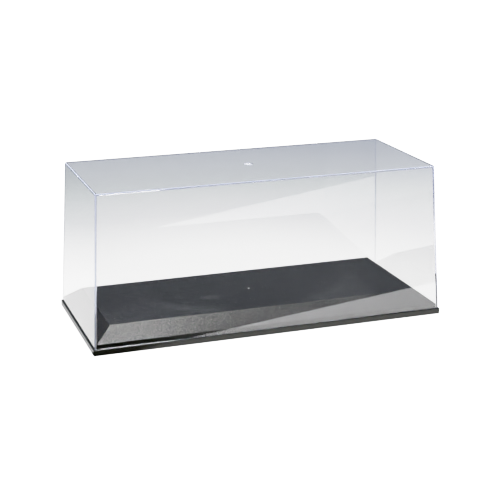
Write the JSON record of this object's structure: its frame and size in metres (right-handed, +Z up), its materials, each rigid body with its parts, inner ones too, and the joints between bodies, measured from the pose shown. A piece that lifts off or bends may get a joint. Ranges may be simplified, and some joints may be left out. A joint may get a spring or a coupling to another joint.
{
  "type": "display case",
  "caption": "Clear lift-off hood with drafted walls on a black stepped base with a sloping border, for showing a scale model car.",
  "frame": {"origin": "middle of the surface that the base stands on, at the bottom centre of the case's box", "axes": "+X along the length, +Y towards the back, +Z up, which is also the way the hood lifts off"},
  "size_m": [0.33, 0.142, 0.1407],
  "materials": {
    "black_polystyrene": "black polystyrene, satin moulded surface with a fine spark texture on the sloping border",
    "clear_polystyrene": "clear polystyrene, polished, with a faint blue tint at its edges"
  },
  "bodies": {
    "base": {"base": "black_polystyrene"},
    "hood": {"hood": "clear_polystyrene"}
  },
  "joints": [
    {"name": "hood_lift", "type": "slide", "parent": "base", "child": "hood", "axis": [0, 0, 1], "range_m": [0, 0.15]}
  ]
}
